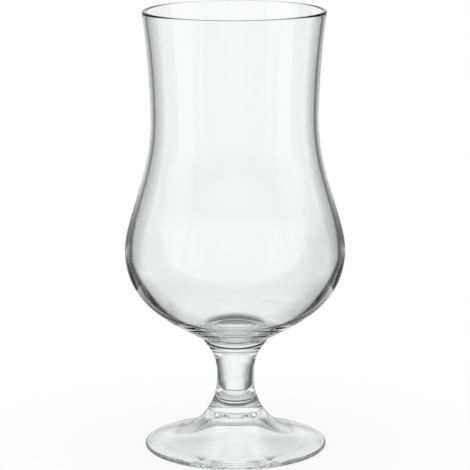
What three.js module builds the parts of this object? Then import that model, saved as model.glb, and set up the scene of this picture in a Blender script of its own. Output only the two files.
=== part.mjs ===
import * as THREE from 'three';

// Footed cocktail glass: a blown bowl, a solid stem and a pressed foot, welded to each other while hot.
// Millimetres, +Z up, z = 0 on the table. Every piece is a body of revolution about the Z axis.
// A "reach" is how far a wall keeps the direction that it has at a named point before it bends away.

// Foot
const footRadius = 36.75;
const footHeight = 15.6; // table to the weld under the stem
const footEdgeThickness = 2.2;
const footEdgeRound = 1.3; // depth of the rounded edge, measured inwards
const restingRingWidth = 3.2; // flat ring that stands on the table
const hollowHeight = 13.9; // top of the bell-shaped underside, on the axis
const hollowTopReach = 6.4;
const hollowSideRadius = 11.3; // where the underside turns from its dome to its skirt
const hollowSideHeight = 9.4;
const hollowSideSlope = 45; // degrees from level
const hollowSideReachUp = 4.2;
const hollowSideReachDown = 5;
const hollowRimSlope = 8; // degrees from level, where the skirt meets the resting ring
const hollowRimReach = 12;
const shoulderRadius = 25.1; // where the sloping top starts to climb
const shoulderHeight = 5.4;
const shoulderSlope = 14.6; // degrees from level
const shoulderReach = 5.3;
const footFlareReach = 6.3;

// Weld between foot and stem
const footWeldRadius = 11.2;
const footWeldSlope = 57; // degrees from level, the same on both pieces

// Stem
const stemLength = 27.1; // weld to weld
const stemFlareReach = 4.1;
const neckRadius = 7.5; // thinnest place
const neckHeight = 12.45; // above the foot weld
const neckReachDown = 4.8;
const neckReachUp = 6.6;
const stemTopRadius = 11.75;
const stemTopSlope = 52; // degrees from level
const stemTopReach = 6.2;

// Bowl, with heights measured from its weld to the stem
const bowlHeight = 135.3;
const bowlWeldRadius = 11.15;
const baseRingRadius = 13.15; // small bulge left by the weld
const baseRingHeight = 2.4;
const baseRingReach = 0.73;
const baseSlope = 30.9; // degrees from level, where the wall leaves the base ring
const baseReach = 15.3;
const bellyRadius = 44.35;
const bellyHeight = 38.9;
const bellyWall = 2.6;
const bellyReachDown = 21.7;
const bellyReachUp = 12.6;
const waistRadius = 33.55;
const waistHeight = 92.3;
const waistWall = 1.95;
const waistReachDown = 23.6;
const waistReachUp = 13.4;
const rimRadius = 36.6;
const rimWall = 1.75;
const rimSlope = 8; // degrees from upright, leaning outwards
const rimReach = 14.75;
const lipHeight = 0.9; // rounded, fire-polished edge
const floorThickness = 6.45; // glass under the drink, down to the weld
const floorReach = 26.5;
const cavityBellyReachDown = 15.4;
const cavityBellyReachUp = 14;

// Fineness of the turned surfaces
const turnSegments = 48;
const wallSteps = 11;
const flareSteps = 7;
const edgeSteps = 6;
const ringSteps = 3;

function point(radius, height) {
  return new THREE.Vector2(radius, height);
}

// Handle of a given length at an angle from level: 0 points outwards, 90 points up
function reach(degrees, length) {
  const angle = THREE.MathUtils.degToRad(degrees);
  return point(length * Math.cos(angle), length * Math.sin(angle));
}

function bend(start, startReach, endReach, end) {
  return new THREE.CubicBezierCurve(start, start.clone().add(startReach), end.clone().add(endReach), end);
}

function straight(start, end) {
  return new THREE.LineCurve(start, end);
}

// Half ellipse that goes round an edge, between two angles in degrees from level
function roundedEdge(centre, depth, halfThickness, fromDegrees, toDegrees, clockwise) {
  const from = THREE.MathUtils.degToRad(fromDegrees);
  const to = THREE.MathUtils.degToRad(toDegrees);
  return new THREE.EllipseCurve(centre.x, centre.y, depth, halfThickness, from, to, clockwise, 0);
}

// Solid turned about Z from [curve, steps] stretches that run from the axis, round the outside, back to the axis
function turned(name, material, stretches) {
  const outline = stretches.flatMap(([curve, steps], index) => {
    const samples = curve.getPoints(steps);
    return index === 0 ? samples : samples.slice(1);
  });
  const geometry = new THREE.LatheGeometry(outline, turnSegments);
  geometry.rotateX(Math.PI / 2);
  const mesh = new THREE.Mesh(geometry, material);
  mesh.name = name;
  return mesh;
}

function clearGlass(color, roughness) {
  return new THREE.MeshStandardMaterial({ color, roughness, metalness: 0, transparent: true, opacity: 0.35 });
}

// Foot: bell-shaped underside, flat resting ring, rounded edge, and a top that climbs to the weld
function makeFoot() {
  const edgeInnerRadius = footRadius - footEdgeRound;
  const halfEdge = footEdgeThickness / 2;
  const hollowTop = point(0, hollowHeight);
  const hollowSide = point(hollowSideRadius, hollowSideHeight);
  const hollowRim = point(edgeInnerRadius - restingRingWidth, 0);
  const edgeBottom = point(edgeInnerRadius, 0);
  const edgeTop = point(edgeInnerRadius, footEdgeThickness);
  const shoulder = point(shoulderRadius, shoulderHeight);
  const weldEdge = point(footWeldRadius, footHeight);
  return turned('foot', clearGlass(0xf1f4f3, 0.04), [
    [
      bend(
        hollowTop,
        reach(0, hollowTopReach),
        reach(180 - hollowSideSlope, hollowSideReachUp),
        hollowSide,
      ),
      flareSteps,
    ],
    [
      bend(
        hollowSide,
        reach(-hollowSideSlope, hollowSideReachDown),
        reach(180 - hollowRimSlope, hollowRimReach),
        hollowRim,
      ),
      flareSteps,
    ],
    [straight(hollowRim, edgeBottom), 1],
    [roundedEdge(point(edgeInnerRadius, halfEdge), footEdgeRound, halfEdge, -90, 90, false), edgeSteps],
    [straight(edgeTop, shoulder), 1],
    [
      bend(
        shoulder,
        reach(180 - shoulderSlope, shoulderReach),
        reach(-footWeldSlope, footFlareReach),
        weldEdge,
      ),
      flareSteps,
    ],
    [straight(weldEdge, point(0, footHeight)), 1],
  ]);
}

// Stem: solid, thinnest at the neck, flared to the weld at each end
function makeStem() {
  const bottomEdge = point(footWeldRadius, 0);
  const neck = point(neckRadius, neckHeight);
  const topEdge = point(stemTopRadius, stemLength);
  return turned('stem', clearGlass(0xf3f6f5, 0.03), [
    [straight(point(0, 0), bottomEdge), 1],
    [bend(bottomEdge, reach(180 - footWeldSlope, stemFlareReach), reach(-90, neckReachDown), neck), flareSteps],
    [bend(neck, reach(90, neckReachUp), reach(180 + stemTopSlope, stemTopReach), topEdge), flareSteps],
    [straight(topEdge, point(0, stemLength)), 1],
  ]);
}

// Bowl: base ring, round belly, drawn-in waist and flared rim outside, and the cavity that follows them inside
function makeBowl() {
  const weldEdge = point(bowlWeldRadius, 0);
  const ringTop = point(baseRingRadius, baseRingHeight);
  const belly = point(bellyRadius, bellyHeight);
  const waist = point(waistRadius, waistHeight);
  const lipOuter = point(rimRadius, bowlHeight - lipHeight);
  const lipCentre = point(rimRadius - rimWall / 2, bowlHeight - lipHeight);
  const lipInner = point(rimRadius - rimWall, bowlHeight - lipHeight);
  const waistInner = point(waistRadius - waistWall, waistHeight);
  const bellyInner = point(bellyRadius - bellyWall, bellyHeight);
  const floor = point(0, floorThickness);
  return turned('bowl', clearGlass(0xf4f7f6, 0.02), [
    [straight(point(0, 0), weldEdge), 1],
    [bend(weldEdge, reach(0, baseRingReach), reach(-90, baseRingReach), ringTop), ringSteps],
    [bend(ringTop, reach(baseSlope, baseReach), reach(-90, bellyReachDown), belly), wallSteps],
    [bend(belly, reach(90, bellyReachUp), reach(-90, waistReachDown), waist), wallSteps],
    [bend(waist, reach(90, waistReachUp), reach(-90 - rimSlope, rimReach), lipOuter), flareSteps],
    [roundedEdge(lipCentre, rimWall / 2, lipHeight, 0, 180, false), edgeSteps],
    [bend(lipInner, reach(-90 - rimSlope, rimReach), reach(90, waistReachUp), waistInner), flareSteps],
    [bend(waistInner, reach(-90, waistReachDown), reach(90, cavityBellyReachUp), bellyInner), wallSteps],
    [bend(bellyInner, reach(-90, cavityBellyReachDown), reach(0, floorReach), floor), wallSteps],
  ]);
}

const glass = new THREE.Group();
const foot = makeFoot();
const stem = makeStem();
const bowl = makeBowl();
stem.position.z = footHeight;
bowl.position.z = footHeight + stemLength;
glass.add(foot, stem, bowl);

export default glass;
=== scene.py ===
import math

import bpy
import numpy as np
from mathutils import Matrix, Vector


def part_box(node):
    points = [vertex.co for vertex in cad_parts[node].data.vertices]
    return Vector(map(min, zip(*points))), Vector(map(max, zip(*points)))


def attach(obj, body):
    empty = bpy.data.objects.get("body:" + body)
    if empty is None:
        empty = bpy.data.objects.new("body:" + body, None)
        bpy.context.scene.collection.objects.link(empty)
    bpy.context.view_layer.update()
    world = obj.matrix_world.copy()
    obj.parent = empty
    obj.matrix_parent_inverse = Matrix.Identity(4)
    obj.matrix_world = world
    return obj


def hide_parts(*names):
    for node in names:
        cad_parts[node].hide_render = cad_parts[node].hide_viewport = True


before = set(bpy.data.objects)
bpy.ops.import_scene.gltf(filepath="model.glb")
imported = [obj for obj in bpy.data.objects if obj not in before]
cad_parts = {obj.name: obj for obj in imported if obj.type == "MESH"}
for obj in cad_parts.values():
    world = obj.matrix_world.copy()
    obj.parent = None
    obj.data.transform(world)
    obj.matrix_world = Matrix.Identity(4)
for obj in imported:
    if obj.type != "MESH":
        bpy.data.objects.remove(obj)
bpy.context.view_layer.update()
mm = 0.001  # the shape values below are in millimetres, the scene is in metres
turnSteps = 256  # steps round the axis of every turned surface


def nodeSpan(node):
    # lowest height, highest height and widest radius of a solid, in millimetres
    low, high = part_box(node)
    return low[2] / mm, high[2] / mm, high[0] / mm


footFrom, footTo, footRadius = nodeSpan("foot")
stemFrom, stemTo, stemTopRadius = nodeSpan("stem")
bowlFrom, bowlTo, bellyRadius = nodeSpan("bowl")
print("frame loaded: foot, stem and bowl stand", round(bowlTo, 1), "mm high")


# Profiles: runs of (radius, height) points

def at(radius, height):
    return np.array([radius, height], dtype=float)


def reach(degrees, length):
    # handle of a curve, at an angle from level: 0 points outwards, 90 points up
    angle = math.radians(degrees)
    return at(length * math.cos(angle), length * math.sin(angle))


def bend(start, startReach, endReach, end, steps):
    # cubic curve: weights (1-t)^3, 3(1-t)^2 t, 3(1-t) t^2 and t^3 on the two ends and their handles
    t = np.linspace(0.0, 1.0, steps + 1)[:, None]
    s = 1.0 - t
    return s**3 * start + 3 * s**2 * t * (start + startReach) + 3 * s * t**2 * (end + endReach) + t**3 * end


def straight(start, end, steps=1):
    # even steps along a line
    return start + (end - start) * np.linspace(0.0, 1.0, steps + 1)[:, None]


def roundEdge(centre, depth, halfHeight, fromDegrees, toDegrees, steps):
    # arc of an ellipse: centre plus (depth cos a, halfHeight sin a)
    a = np.radians(np.linspace(fromDegrees, toDegrees, steps + 1))
    return centre + np.stack([depth * np.cos(a), halfHeight * np.sin(a)], axis=1)


def joinRuns(runs):
    # one outline from runs that meet end to end, and for each step whether it lies on a weld face
    points = np.vstack([runs[0][0]] + [run[1:] for run, seam in runs[1:]])
    seams = np.concatenate([np.full(len(run) - 1, seam) for run, seam in runs])
    return points, seams


# Turned surface: point (i, j) = (r_i cos a_j, r_i sin a_j, z_i), closed on the axis at both ends

def turnedPiece(name, runs, glass, seamGlass):
    outline, seams = joinRuns(runs)
    rings = outline[1:-1] * mm
    angle = np.arange(turnSteps) * (2 * math.pi / turnSteps)
    grid = np.empty((len(rings), turnSteps, 3))
    grid[:, :, 0] = rings[:, :1] * np.cos(angle)
    grid[:, :, 1] = rings[:, :1] * np.sin(angle)
    grid[:, :, 2] = rings[:, 1:]
    ends = np.array([[0, 0, outline[0][1] * mm], [0, 0, outline[-1][1] * mm]])
    places = np.vstack([grid.reshape(-1, 3), ends])
    index = np.arange(len(rings) * turnSteps).reshape(len(rings), turnSteps)
    after = np.roll(index, -1, axis=1)
    quads = np.stack([index[:-1], after[:-1], after[1:], index[1:]], axis=2).reshape(-1, 4)
    startPole = np.full(turnSteps, len(places) - 2)
    endPole = np.full(turnSteps, len(places) - 1)
    startFan = np.stack([startPole, after[0], index[0]], axis=1)
    endFan = np.stack([index[-1], after[-1], endPole], axis=1)
    mesh = bpy.data.meshes.new(name)
    mesh.from_pydata(places.tolist(), [], startFan.tolist() + quads.tolist() + endFan.tolist())
    onSeam = np.repeat(seams, turnSteps)
    mesh.materials.append(glass)
    mesh.materials.append(seamGlass)
    mesh.polygons.foreach_set("material_index", onSeam.astype(np.int32))
    mesh.polygons.foreach_set("use_smooth", ~onSeam)
    mesh.update()
    piece = bpy.data.objects.new(name, mesh)
    bpy.context.scene.collection.objects.link(piece)
    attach(piece, "root")
    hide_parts(name.split("_")[0])
    print("piece", name, len(places), "points")
    return piece


# Glass

def glassGroup():
    # slow waves of the hot glass, a trace of tone and a trace of haze
    group = bpy.data.node_groups.new("glassWaves", "ShaderNodeTree")
    sockets = group.interface
    for label, value in (("Wave Size", 60.0), ("Wave Stretch", 0.3), ("Haze", 0.01), ("Thick Top", 0.0)):
        sockets.new_socket(name=label, in_out="INPUT", socket_type="NodeSocketFloat").default_value = value
    for label in ("Clear", "Tint", "Thick"):
        sockets.new_socket(name=label, in_out="INPUT", socket_type="NodeSocketColor")
    sockets.new_socket(name="Height", in_out="OUTPUT", socket_type="NodeSocketFloat")
    sockets.new_socket(name="Tone", in_out="OUTPUT", socket_type="NodeSocketColor")
    sockets.new_socket(name="Roughness", in_out="OUTPUT", socket_type="NodeSocketFloat")
    nodes, links = group.nodes, group.links
    given = nodes.new("NodeGroupInput")
    result = nodes.new("NodeGroupOutput")
    place = nodes.new("ShaderNodeTexCoord")
    stretch = nodes.new("ShaderNodeCombineXYZ")
    stretch.inputs["X"].default_value = 1.0
    stretch.inputs["Y"].default_value = 1.0
    links.new(given.outputs["Wave Stretch"], stretch.inputs["Z"])
    drawn = nodes.new("ShaderNodeVectorMath")
    drawn.operation = "MULTIPLY"
    links.new(place.outputs["Object"], drawn.inputs[0])
    links.new(stretch.outputs["Vector"], drawn.inputs[1])
    waves = nodes.new("ShaderNodeTexNoise")
    waves.inputs["Detail"].default_value = 1.0
    waves.inputs["Roughness"].default_value = 0.3
    links.new(drawn.outputs["Vector"], waves.inputs["Vector"])
    links.new(given.outputs["Wave Size"], waves.inputs["Scale"])
    links.new(waves.outputs["Fac"], result.inputs["Height"])
    tone = nodes.new("ShaderNodeMix")
    tone.data_type = "RGBA"
    links.new(waves.outputs["Fac"], tone.inputs["Factor"])
    links.new(given.outputs["Clear"], tone.inputs["A"])
    links.new(given.outputs["Tint"], tone.inputs["B"])
    # from 0 at the top of the thick glass to 1 six millimetres further down
    split = nodes.new("ShaderNodeSeparateXYZ")
    links.new(place.outputs["Object"], split.inputs["Vector"])
    depth = nodes.new("ShaderNodeMath")
    depth.operation = "SUBTRACT"
    links.new(given.outputs["Thick Top"], depth.inputs[0])
    links.new(split.outputs["Z"], depth.inputs[1])
    share = nodes.new("ShaderNodeMapRange")
    share.inputs["From Max"].default_value = 6.0 * mm
    links.new(depth.outputs["Value"], share.inputs["Value"])
    thick = nodes.new("ShaderNodeMix")
    thick.data_type = "RGBA"
    links.new(share.outputs["Result"], thick.inputs["Factor"])
    links.new(tone.outputs["Result"], thick.inputs["A"])
    links.new(given.outputs["Thick"], thick.inputs["B"])
    links.new(thick.outputs["Result"], result.inputs["Tone"])
    smudge = nodes.new("ShaderNodeTexNoise")
    smudge.inputs["Scale"].default_value = 25.0
    links.new(place.outputs["Object"], smudge.inputs["Vector"])
    haze = nodes.new("ShaderNodeMath")
    haze.operation = "MULTIPLY"
    links.new(smudge.outputs["Fac"], haze.inputs[0])
    links.new(given.outputs["Haze"], haze.inputs[1])
    links.new(haze.outputs["Value"], result.inputs["Roughness"])
    return group


def clearGlass(name, group, look):
    material = bpy.data.materials.new(name)
    material.use_nodes = True
    nodes, links = material.node_tree.nodes, material.node_tree.links
    shader = nodes["Principled BSDF"]
    waves = nodes.new("ShaderNodeGroup")
    waves.node_tree = group
    waves.inputs["Wave Size"].default_value = look["waveSize"]
    waves.inputs["Wave Stretch"].default_value = look["waveStretch"]
    waves.inputs["Haze"].default_value = look["haze"]
    waves.inputs["Clear"].default_value = (*look["clear"], 1.0)
    waves.inputs["Tint"].default_value = (*look["tint"], 1.0)
    waves.inputs["Thick"].default_value = (*look["thick"], 1.0)
    waves.inputs["Thick Top"].default_value = look["thickTop"] * mm
    ripple = nodes.new("ShaderNodeBump")
    ripple.inputs["Strength"].default_value = 1.0
    ripple.inputs["Distance"].default_value = look["waveDepth"] * mm
    links.new(waves.outputs["Height"], ripple.inputs["Height"])
    links.new(waves.outputs["Tone"], shader.inputs["Base Color"])
    links.new(waves.outputs["Roughness"], shader.inputs["Roughness"])
    links.new(ripple.outputs["Normal"], shader.inputs["Normal"])
    shader.inputs["Metallic"].default_value = 0.0
    shader.inputs["IOR"].default_value = 1.52
    shader.inputs["Transmission Weight"].default_value = 1.0
    return material


def fusedSeam():
    # inside a weld the glass runs on, so nothing shows there
    material = bpy.data.materials.new("fusedSeam")
    material.use_nodes = True
    material.node_tree.nodes["Principled BSDF"].inputs["Alpha"].default_value = 0.0
    return material


blownLook = {
    "clear": (0.985, 0.99, 0.988),
    "tint": (0.97, 0.98, 0.976),
    "thick": (0.9, 0.95, 0.942),
    "thickTop": 53.0,
    "haze": 0.01,
    "waveSize": 55.0,
    "waveStretch": 0.25,
    "waveDepth": 0.02,
}
stemLook = {**blownLook, "thick": (0.95, 0.975, 0.967), "waveSize": 90.0, "waveDepth": 0.012}
pressedLook = {**blownLook, "thick": (0.95, 0.98, 0.97), "waveSize": 70.0, "waveStretch": 1.0, "waveDepth": 0.03}

waveGroup = glassGroup()
blownGlass = clearGlass("blownGlass", waveGroup, blownLook)
stemGlass = clearGlass("stemGlass", waveGroup, stemLook)
pressedGlass = clearGlass("pressedGlass", waveGroup, pressedLook)
seamGlass = fusedSeam()
print("glass mixed")


# Foot: bell-shaped underside, flat resting ring, rounded edge, top that climbs to the weld

footShape = {
    "edgeThickness": 2.2,
    "edgeRound": 1.3,  # depth of the rounded edge
    "restingRing": 3.2,  # width of the flat ring
    "hollowHeight": 13.9,  # top of the underside, on the axis
    "hollowTopReach": 6.4,
    "hollowSideRadius": 11.3,  # where the dome turns into the skirt
    "hollowSideHeight": 9.4,
    "hollowSideSlope": 45.0,
    "hollowSideReachUp": 4.2,
    "hollowSideReachDown": 5.0,
    "hollowRimSlope": 8.0,
    "hollowRimReach": 12.0,
    "shoulderRadius": 25.1,
    "shoulderHeight": 5.4,
    "shoulderSlope": 14.6,
    "shoulderReach": 5.3,
    "flareReach": 6.3,
}
footWeld = {"radius": 11.2, "slope": 57.0}  # shared by foot and stem


def makeFoot(shape, weld):
    edgeInner = footRadius - shape["edgeRound"]
    halfEdge = shape["edgeThickness"] / 2
    hollowTop = at(0, footFrom + shape["hollowHeight"])
    hollowSide = at(shape["hollowSideRadius"], footFrom + shape["hollowSideHeight"])
    hollowRim = at(edgeInner - shape["restingRing"], footFrom)
    edgeCentre = at(edgeInner, footFrom + halfEdge)
    edgeTop = at(edgeInner, footFrom + shape["edgeThickness"])
    shoulder = at(shape["shoulderRadius"], footFrom + shape["shoulderHeight"])
    weldEdge = at(weld["radius"], footTo)
    domeEnd = reach(180 - shape["hollowSideSlope"], shape["hollowSideReachUp"])
    skirtStart = reach(-shape["hollowSideSlope"], shape["hollowSideReachDown"])
    skirtEnd = reach(180 - shape["hollowRimSlope"], shape["hollowRimReach"])
    climb = reach(180 - shape["shoulderSlope"], shape["shoulderReach"])
    flare = reach(-weld["slope"], shape["flareReach"])
    return turnedPiece("foot_pressed", [
        (bend(hollowTop, reach(0, shape["hollowTopReach"]), domeEnd, hollowSide, 40), False),
        (bend(hollowSide, skirtStart, skirtEnd, hollowRim, 40), False),
        (straight(hollowRim, at(edgeInner, footFrom), 4), False),
        (roundEdge(edgeCentre, shape["edgeRound"], halfEdge, -90, 90, 24), False),
        (straight(edgeTop, shoulder, 16), False),
        (bend(shoulder, climb, flare, weldEdge, 48), False),
        (straight(weldEdge, at(0, footTo)), True),
    ], pressedGlass, seamGlass)


# Stem: solid, thinnest at the neck

stemShape = {
    "flareReach": 4.1,
    "neckRadius": 7.5,
    "neckHeight": 12.45,  # above the foot weld
    "neckReachDown": 4.8,
    "neckReachUp": 6.6,
    "topSlope": 52.0,
    "topReach": 6.2,
}
bowlWeldRadius = 11.15  # a little narrower than the stem's top, which leaves a fine ledge


def makeStem(shape, weld):
    bottomEdge = at(weld["radius"], stemFrom)
    neck = at(shape["neckRadius"], stemFrom + shape["neckHeight"])
    topEdge = at(stemTopRadius, stemTo)
    flare = reach(180 - weld["slope"], shape["flareReach"])
    top = reach(180 + shape["topSlope"], shape["topReach"])
    return turnedPiece("stem_solid", [
        (straight(at(0, stemFrom), bottomEdge), True),
        (bend(bottomEdge, flare, reach(-90, shape["neckReachDown"]), neck, 40), False),
        (bend(neck, reach(90, shape["neckReachUp"]), top, topEdge, 40), False),
        (straight(topEdge, at(bowlWeldRadius, stemTo)), False),
        (straight(at(bowlWeldRadius, stemTo), at(0, stemTo)), True),
    ], stemGlass, seamGlass)


# Bowl: base ring, belly, waist and flared rim outside, then the cavity inside

bowlShape = {
    "ringRadius": 13.15,
    "ringHeight": 2.4,
    "ringReach": 0.73,
    "baseSlope": 30.9,
    "baseReach": 15.3,
    "bellyHeight": 38.9,
    "bellyWall": 2.6,
    "bellyReachDown": 21.7,
    "bellyReachUp": 12.6,
    "waistRadius": 33.55,
    "waistHeight": 92.3,
    "waistWall": 1.95,
    "waistReachDown": 23.6,
    "waistReachUp": 13.4,
    "rimRadius": 36.6,
    "rimWall": 1.75,
    "rimSlope": 8.0,
    "rimReach": 14.75,
    "lipHeight": 0.9,
    "floorThickness": 6.45,
    "floorReach": 26.5,
    "cavityReachDown": 15.4,
    "cavityReachUp": 14.0,
}


def makeBowl(shape):
    weldEdge = at(bowlWeldRadius, bowlFrom)
    ringTop = at(shape["ringRadius"], bowlFrom + shape["ringHeight"])
    belly = at(bellyRadius, bowlFrom + shape["bellyHeight"])
    waist = at(shape["waistRadius"], bowlFrom + shape["waistHeight"])
    lipFrom = bowlTo - shape["lipHeight"]
    lipOuter = at(shape["rimRadius"], lipFrom)
    halfRim = shape["rimWall"] / 2
    lipCentre = at(shape["rimRadius"] - halfRim, lipFrom)
    lipInner = at(shape["rimRadius"] - shape["rimWall"], lipFrom)
    waistInner = waist - at(shape["waistWall"], 0)
    bellyInner = belly - at(shape["bellyWall"], 0)
    floor = at(0, bowlFrom + shape["floorThickness"])
    ringReach = shape["ringReach"]
    lean = reach(-90 - shape["rimSlope"], shape["rimReach"])
    waistUp, waistDown = reach(90, shape["waistReachUp"]), reach(-90, shape["waistReachDown"])
    bellyUp, bellyDown = reach(90, shape["bellyReachUp"]), reach(-90, shape["bellyReachDown"])
    leaveBase = reach(shape["baseSlope"], shape["baseReach"])
    cavityUp, cavityDown = reach(90, shape["cavityReachUp"]), reach(-90, shape["cavityReachDown"])
    return turnedPiece("bowl_blown", [
        (straight(at(0, bowlFrom), weldEdge), True),
        (bend(weldEdge, reach(0, ringReach), reach(-90, ringReach), ringTop, 10), False),
        (bend(ringTop, leaveBase, bellyDown, belly, 48), False),
        (bend(belly, bellyUp, waistDown, waist, 40), False),
        (bend(waist, waistUp, lean, lipOuter, 28), False),
        (roundEdge(lipCentre, halfRim, shape["lipHeight"], 0, 180, 20), False),
        (bend(lipInner, lean, waistUp, waistInner, 28), False),
        (bend(waistInner, waistDown, cavityUp, bellyInner, 40), False),
        (bend(bellyInner, cavityDown, reach(0, shape["floorReach"]), floor, 56), False),
    ], blownGlass, seamGlass)


makeFoot(footShape, footWeld)
makeStem(stemShape, footWeld)
makeBowl(bowlShape)


# Floor: a pale round table, white to the camera, with the soft shadow left near the foot

floorLook = {
    "radius": 0.16,
    "drop": 0.0001,  # gap under the resting ring, so the two faces never coincide
    "colour": (0.9, 0.9, 0.9),
    "shade": 0.12,  # share of real shading next to the foot
    "edgeSteps": 128,
}


def makeFloor(look):
    steps = look["edgeSteps"]
    angle = np.arange(steps) * (2 * math.pi / steps)
    edge = np.stack([np.cos(angle), np.sin(angle), np.zeros(steps)], axis=1) * look["radius"]
    edge[:, 2] = -look["drop"]
    mesh = bpy.data.meshes.new("floor")
    mesh.from_pydata(edge.tolist(), [], [list(range(steps))])
    material = bpy.data.materials.new("paleFloor")
    material.use_nodes = True
    nodes, links = material.node_tree.nodes, material.node_tree.links
    nodes.clear()
    result = nodes.new("ShaderNodeOutputMaterial")
    place = nodes.new("ShaderNodeTexCoord")
    away = nodes.new("ShaderNodeVectorMath")
    away.operation = "LENGTH"
    links.new(place.outputs["Object"], away.inputs[0])
    fade = nodes.new("ShaderNodeMapRange")
    fade.interpolation_type = "SMOOTHSTEP"
    fade.inputs["From Min"].default_value = footRadius * mm
    fade.inputs["From Max"].default_value = look["radius"] * 0.97
    fade.inputs["To Min"].default_value = look["shade"]
    fade.inputs["To Max"].default_value = 0.0
    links.new(away.outputs["Value"], fade.inputs["Value"])
    glow = nodes.new("ShaderNodeEmission")
    glow.inputs["Strength"].default_value = 1.0
    matt = nodes.new("ShaderNodeBsdfDiffuse")
    matt.inputs["Color"].default_value = (*look["colour"], 1.0)
    mix = nodes.new("ShaderNodeMixShader")
    links.new(fade.outputs["Result"], mix.inputs["Fac"])
    links.new(glow.outputs["Emission"], mix.inputs[1])
    links.new(matt.outputs["BSDF"], mix.inputs[2])
    links.new(mix.outputs["Shader"], result.inputs["Surface"])
    mesh.materials.append(material)
    floor = bpy.data.objects.new("floor", mesh)
    bpy.context.scene.collection.objects.link(floor)
    floor.visible_transmission = False
    floor.visible_glossy = False


lampLook = {"strength": 1.2, "spread": 60.0}  # wide soft lamp overhead that only the table takes up


def makeLamp(look):
    data = bpy.data.lights.new("overheadLamp", "SUN")
    data.energy = look["strength"]
    data.angle = math.radians(look["spread"])
    lamp = bpy.data.objects.new("overheadLamp", data)
    lamp.visible_glossy = False
    lamp.visible_transmission = False
    bpy.context.scene.collection.objects.link(lamp)


makeFloor(floorLook)
makeLamp(lampLook)


# Studio: a light tent close round the glass, a glowing table under its foot with painted light and painted shadow,
# and the room below the horizon
# Levels are (place, level) stops. Bearings are degrees round from straight behind the glass, to the right.
# Heights and distances are millimetres.

tentLook = {
    "cloths": {
        "radius": 140.0,
        "high": 420.0,
        "wingFrom": 22.5,  # bearing from which the wall also reaches below the table
        "wingLow": -90.0,
        "tableRadius": 38.0,
        "tableDrop": 0.2,
        "roomRadius": 3000.0,
        "turnSteps": 96,
        "roomSteps": 24,
    },
    "wall": {
        "upper": [  # by bearing: bright back, dark flags, bright side panels
            (0, 1.0), (15, 0.98), (20, 0.95), (24, 0.84), (28, 0.72), (31, 0.6), (34, 0.5), (37, 0.42), (41, 0.29),
            (45, 0.2), (49, 0.15), (52, 0.13), (55, 0.1), (58, 0.05), (74, 0.05), (80, 1.0), (128, 1.0),
            (129.5, 0.7), (150, 0.72), (180, 0.8),
        ],
        "upperTurn": -1.5,  # bearing of the middle of these levels
        "lower": [  # the same beside the stem
            (0, 1.0), (10, 0.98), (15, 0.92), (19, 0.84), (23, 0.72), (26, 0.58), (29, 0.44), (32, 0.38), (35, 0.4),
            (38, 0.28), (41, 0.17), (46, 0.09), (52, 0.12), (57, 0.3), (64, 0.5), (76, 0.95), (110, 0.7), (180, 0.75),
        ],
        "lowerTurn": 3.2,
        "meet": (15.0, 55.0),  # heights between which lower turns into upper
        "mirrored": 0.45,  # painted shade: share of lower that mirrored rays see
        "mirroredTo": (-10.0, 22.0),  # heights over which that share ends
        "paintedReflection": [(0, 0.0), (33, 0.0), (35.5, 0.4), (37.5, 0.4), (40, 0.0), (180, 0.0)],  # painted reflection: a bright strip that only mirrored rays see
        "stripTo": (5.0, 25.0),  # heights over which the painted reflection ends
        "outside": 0.35,  # painted shade: share that rays mirrored off the outside see
        "outsideTo": (10.0, 30.0),  # heights over which that share ends
        "clear": [  # painted light: paler, for rays straight through the bowl
            (0, 1.0), (19, 0.99), (22, 0.96), (25, 0.88), (28, 0.8), (60, 0.8), (75, 0.9), (180, 0.9),
        ],
        "clearLow": [  # the same lower down, with painted shade on the right
            (-180, 0.9), (-75, 0.9), (-60, 0.8), (-28, 0.8), (-25, 0.86), (-22, 0.92), (-16, 0.95), (-9, 1.0),
            (8, 1.0), (11, 0.97), (13, 0.94), (15, 0.91), (17, 0.87), (20, 0.8), (24, 0.72), (28, 0.67),
            (38, 0.63), (48, 0.8), (75, 0.9), (180, 0.9),
        ],
        "clearMeet": (50.0, 85.0),  # heights between which clearLow turns into clear
        "clearFrom": (80.0, 120.0),  # heights from which all rays that aren't mirrored see the paler levels
        "height": [  # share of the level at a height
            (-90, 0.3), (-60, 0.4), (-30, 0.65), (-10, 1.0), (210, 1.0), (260, 0.75), (420, 0.6),
        ],
    },
    "room": {
        "paintedShadePatch": [  # by degrees above level: painted shade, dark behind the base of the bowl
            (-90, 0.9), (-66, 0.85), (-58, 0.08), (-33.6, 0.05), (-30.4, 1.0), (0, 1.0),
        ],
        "patchTo": (17.0, 21.0),  # bearings over which the painted shade ends
        # painted shade: share of the room that mirrored rays see
        "mirrored": 0.6,
        "side": [  # by bearing: soft shade for rays straight through the bowl
            (0, 1.0), (2, 1.0), (3.5, 0.92), (6, 0.8), (9, 0.75), (14, 0.85), (22, 1.0), (180, 1.0),
        ],
        "sideTurn": -1.3,
    },
    "table": {
        "paintedShadowBehind": [(-38, 0.95), (25, 0.95), (31, 0.18), (38, 0.18)],  # by distance behind the axis: painted shadow behind the foot
        "clear": 0.95,  # painted light: level of the middle for rays through two walls
        "clearTo": (6.0, 12.0),  # distances aside over which the middle ends
        "paintedShadowAside": [(0, 0.97), (8, 0.97), (14, 0.78), (26, 0.72), (31, 0.8), (38, 0.85)],  # by distance aside: painted light in the middle, painted shadow in bands to either side
        "acrossTo": (0.0, 14.0),  # distances behind the axis over which the painted side shadow ends
        "mirrored": 0.6,
    },
    "guided": {"depth": 7.5, "level": 0.84},  # painted light: rays mirrored many times along the inside of the thin foot see a fixed level
}


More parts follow.
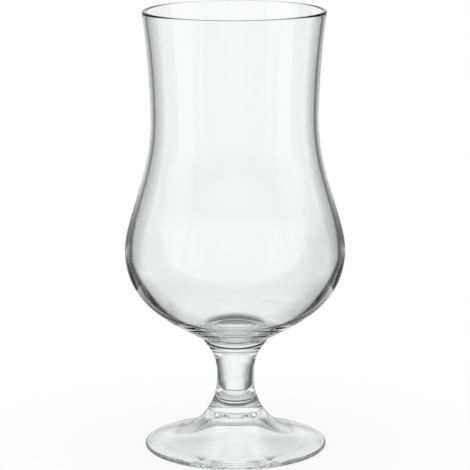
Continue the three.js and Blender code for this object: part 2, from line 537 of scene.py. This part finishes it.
def turnedCloth(outline, steps, gap):
    # point (i, j) = (r_i sin a_j, r_i cos a_j, z_i) and the faces between neighbours, open for gap degrees each side
    angle = np.arange(steps) * (2 * math.pi / steps)
    radius, height = outline[:, :1] * mm, outline[:, 1:] * mm
    grid = np.stack([radius * np.sin(angle), radius * np.cos(angle), height + 0 * angle], axis=2)
    index = np.arange(len(outline) * steps).reshape(len(outline), steps)
    after = np.roll(index, -1, axis=1)
    middle = np.degrees(angle) + 180.0 / steps
    kept = np.minimum(middle, 360.0 - middle) >= gap
    faces = np.stack([index[:-1], after[:-1], after[1:], index[1:]], axis=2)[:, kept].reshape(-1, 4)
    return grid.reshape(-1, 3), faces


def tentMesh(look):
    wall = np.array([(look["radius"], 0.0), (look["radius"], look["high"]), (0.01, look["high"])])
    wings = np.array([(look["radius"], look["wingLow"]), (look["radius"], 0.0)])
    table = np.array([(0.01, -look["tableDrop"]), (look["tableRadius"], -look["tableDrop"])])
    dip = np.radians(np.linspace(0.0, 89.5, look["roomSteps"]))
    room = np.stack([np.cos(dip), -np.sin(dip)], axis=1) * look["roomRadius"]
    places, faces = np.empty((0, 3)), np.empty((0, 4), dtype=int)
    for outline, gap in ((wall, 0.0), (table, 0.0), (room, 0.0), (wings, look["wingFrom"])):
        more, corners = turnedCloth(outline, look["turnSteps"], gap)
        faces = np.vstack([faces, corners + len(places)])
        places = np.vstack([places, more])
    mesh = bpy.data.meshes.new("lightTent")
    mesh.from_pydata(places.tolist(), [], faces.tolist())
    return mesh


def tentCloth(look):
    material = bpy.data.materials.new("tentCloth")
    material.use_nodes = True
    nodes, links = material.node_tree.nodes, material.node_tree.links
    nodes.clear()

    def feed(socket, value):
        if isinstance(value, bpy.types.NodeSocket):
            links.new(value, socket)
        else:
            socket.default_value = value

    def maths(operation, first, second=0.0):
        node = nodes.new("ShaderNodeMath")
        node.operation = operation
        feed(node.inputs[0], first)
        feed(node.inputs[1], second)
        return node.outputs["Value"]

    def product(first, *others):
        for other in others:
            first = maths("MULTIPLY", first, other)
        return first

    def levels(value, stops):
        # level read off a ramp between stops
        low, high = stops[0][0], stops[-1][0]
        spread = nodes.new("ShaderNodeMapRange")
        links.new(value, spread.inputs["Value"])
        spread.inputs["From Min"].default_value = low
        spread.inputs["From Max"].default_value = high
        ramp = nodes.new("ShaderNodeValToRGB")
        ramp.color_ramp.interpolation = "LINEAR"
        marks = ramp.color_ramp.elements
        for place, level in stops[1:-1]:
            marks.new((place - low) / (high - low))
        for mark, (place, level) in zip(marks, stops):
            mark.position = (place - low) / (high - low)
            mark.color = (level, level, level, 1.0)
        links.new(spread.outputs["Result"], ramp.inputs["Fac"])
        return ramp.outputs["Color"]

    def beyond(value, ends):
        # 0 to 1 between two ends, eased
        ease = nodes.new("ShaderNodeMapRange")
        ease.interpolation_type = "SMOOTHSTEP"
        links.new(value, ease.inputs["Value"])
        ease.inputs["From Min"].default_value = ends[0]
        ease.inputs["From Max"].default_value = ends[1]
        return ease.outputs["Result"]

    def within(value, ends):
        # 1 to 0 between two ends, eased
        return maths("SUBTRACT", 1.0, beyond(value, ends))

    def blend(share, first, second):
        node = nodes.new("ShaderNodeMix")
        feed(node.inputs["Factor"], share)
        feed(node.inputs["A"], first)
        feed(node.inputs["B"], second)
        return node.outputs["Result"]

    place = nodes.new("ShaderNodeTexCoord")
    split = nodes.new("ShaderNodeSeparateXYZ")
    links.new(place.outputs["Object"], split.inputs["Vector"])
    east, north, height = [maths("DIVIDE", split.outputs[axis], mm) for axis in "XYZ"]
    bearing = maths("DEGREES", maths("ARCTAN2", east, north))
    away = maths("SQRT", maths("ADD", maths("MULTIPLY", east, east), maths("MULTIPLY", north, north)))
    elevation = maths("DEGREES", maths("ARCTAN2", height, away))
    aside = maths("ABSOLUTE", east)

    def turnedFrom(middle):
        # degrees to either side of a bearing
        return maths("ABSOLUTE", maths("SUBTRACT", bearing, middle))

    # what the ray met on its way: mirrors, both walls of the bowl, or only the outside. Each kind of ray sees its own
    # level, which paints light and shade onto the glass
    path = nodes.new("ShaderNodeLightPath")
    mirrored = maths("GREATER_THAN", path.outputs["Glossy Depth"], 0.5)
    direct = maths("SUBTRACT", 1.0, mirrored)
    guided = maths("GREATER_THAN", path.outputs["Glossy Depth"], look["guided"]["depth"])
    thin = maths("GREATER_THAN", path.outputs["Transmission Depth"], 3.5)
    outside = product(mirrored, maths("LESS_THAN", path.outputs["Transmission Depth"], 0.5))

    wall = look["wall"]
    upper = levels(turnedFrom(wall["upperTurn"]), wall["upper"])
    lower = levels(turnedFrom(wall["lowerTurn"]), wall["lower"])
    # painted shade: mirrored rays see a dimmer share low down
    dimmed = product(lower, blend(product(mirrored, within(height, wall["mirroredTo"])), 1.0, wall["mirrored"]))
    # painted reflection: a bright strip seen only in reflections
    paintedReflection = product(mirrored, levels(turnedFrom(0.0), wall["paintedReflection"]), within(height, wall["stripTo"]))
    flags = maths("ADD", paintedReflection, blend(beyond(height, wall["meet"]), dimmed, upper))
    clearLow = levels(bearing, wall["clearLow"])
    clear = blend(beyond(height, wall["clearMeet"]), clearLow, levels(turnedFrom(0.0), wall["clear"]))
    # painted light for rays through both walls, painted shade for rays mirrored off the outside
    paler = product(direct, maths("MAXIMUM", thin, beyond(height, wall["clearFrom"])))
    shade = blend(product(outside, within(height, wall["outsideTo"])), 1.0, wall["outside"])
    wallLevel = product(blend(paler, flags, clear), levels(height, wall["height"]), shade)

    room = look["room"]
    # painted shade: a dark band below the horizon behind the base of the bowl
    paintedShadePatch = blend(beyond(turnedFrom(0.0), room["patchTo"]), levels(elevation, room["paintedShadePatch"]), 1.0)
    side = blend(product(thin, direct), 1.0, levels(turnedFrom(room["sideTurn"]), room["side"]))
    roomLevel = product(lower, blend(mirrored, 1.0, room["mirrored"]), paintedShadePatch, side)

    # the table glows with painted light and painted shadow: bright in the middle, dark behind the axis and in bands
    # to either side
    table = look["table"]
    middle = product(thin, within(aside, table["clearTo"]))
    paintedShadowBehind = blend(middle, levels(north, table["paintedShadowBehind"]), table["clear"])
    paintedShadowAside = blend(beyond(north, table["acrossTo"]), levels(aside, table["paintedShadowAside"]), 1.0)
    tableLevel = product(blend(mirrored, 1.0, table["mirrored"]), paintedShadowBehind, paintedShadowAside)

    radius = look["cloths"]["radius"]
    far = maths("GREATER_THAN", away, radius * 2)
    nearAxis, aboveRoom = maths("LESS_THAN", away, radius / 2), maths("GREATER_THAN", height, -1.0)
    onTable = product(nearAxis, aboveRoom, maths("LESS_THAN", height, 0.0))
    seen = blend(onTable, blend(far, wallLevel, roomLevel), tableLevel)
    # painted light inside the thin foot: a fixed level for rays mirrored many times there
    inFoot = product(guided, maths("SUBTRACT", 1.0, far))
    glow = nodes.new("ShaderNodeEmission")
    links.new(blend(inFoot, seen, look["guided"]["level"]), glow.inputs["Strength"])
    result = nodes.new("ShaderNodeOutputMaterial")
    links.new(glow.outputs["Emission"], result.inputs["Surface"])
    return material


def makeTent(look):
    mesh = tentMesh(look["cloths"])
    mesh.materials.append(tentCloth(look))
    tent = bpy.data.objects.new("lightTent", mesh)
    tent.visible_camera = False
    tent.visible_diffuse = False
    tent.visible_shadow = False
    bpy.context.scene.collection.objects.link(tent)


worldLook = {"plain": 0.6}  # level that lights matt surfaces, and white for all that is seen directly


def makeWorld(look):
    world = bpy.data.worlds.new("whiteRoom")
    bpy.context.scene.world = world
    world.use_nodes = True
    nodes, links = world.node_tree.nodes, world.node_tree.links
    path = nodes.new("ShaderNodeLightPath")
    mirrored = nodes.new("ShaderNodeMath")
    mirrored.operation = "MAXIMUM"
    links.new(path.outputs["Is Glossy Ray"], mirrored.inputs[0])
    links.new(path.outputs["Is Transmission Ray"], mirrored.inputs[1])
    shown = nodes.new("ShaderNodeMath")
    shown.operation = "MAXIMUM"
    links.new(path.outputs["Is Camera Ray"], shown.inputs[0])
    links.new(mirrored.outputs["Value"], shown.inputs[1])
    level = nodes.new("ShaderNodeMix")
    links.new(shown.outputs["Value"], level.inputs["Factor"])
    level.inputs["A"].default_value = look["plain"]
    level.inputs["B"].default_value = 1.0
    nodes["Background"].inputs["Color"].default_value = (1.0, 1.0, 1.0, 1.0)
    links.new(level.outputs["Result"], nodes["Background"].inputs["Strength"])


makeTent(tentLook)
makeWorld(worldLook)


# Camera, from the outline of the glass in the photograph

cameraLook = {
    "away": 0.9561,
    "height": 0.2855,
    "pitch": 11.708,  # degrees down
    "roll": -0.19,
    "focal": 2429.35,  # in pixels of the frame
    "frameWidth": 470.0,
    "sensor": 36.0,
}


def makeCamera(look):
    data = bpy.data.cameras.new("camera")
    data.sensor_width = look["sensor"]
    data.lens = look["focal"] / look["frameWidth"] * look["sensor"]
    camera = bpy.data.objects.new("camera", data)
    place = Matrix.Translation((0.0, -look["away"], look["height"]))
    tip = Matrix.Rotation(math.radians(90.0 - look["pitch"]), 4, "X")
    camera.matrix_world = place @ tip @ Matrix.Rotation(math.radians(look["roll"]), 4, "Z")
    bpy.context.scene.collection.objects.link(camera)
    bpy.context.scene.camera = camera


makeCamera(cameraLook)
scene = bpy.context.scene
scene.view_settings.view_transform = "Standard"
scene.cycles.max_bounces = 32
scene.cycles.transmission_bounces = 32
scene.cycles.glossy_bounces = 16
scene.cycles.transparent_max_bounces = 32
scene.cycles.use_denoising = True
print("floor, studio and camera set")
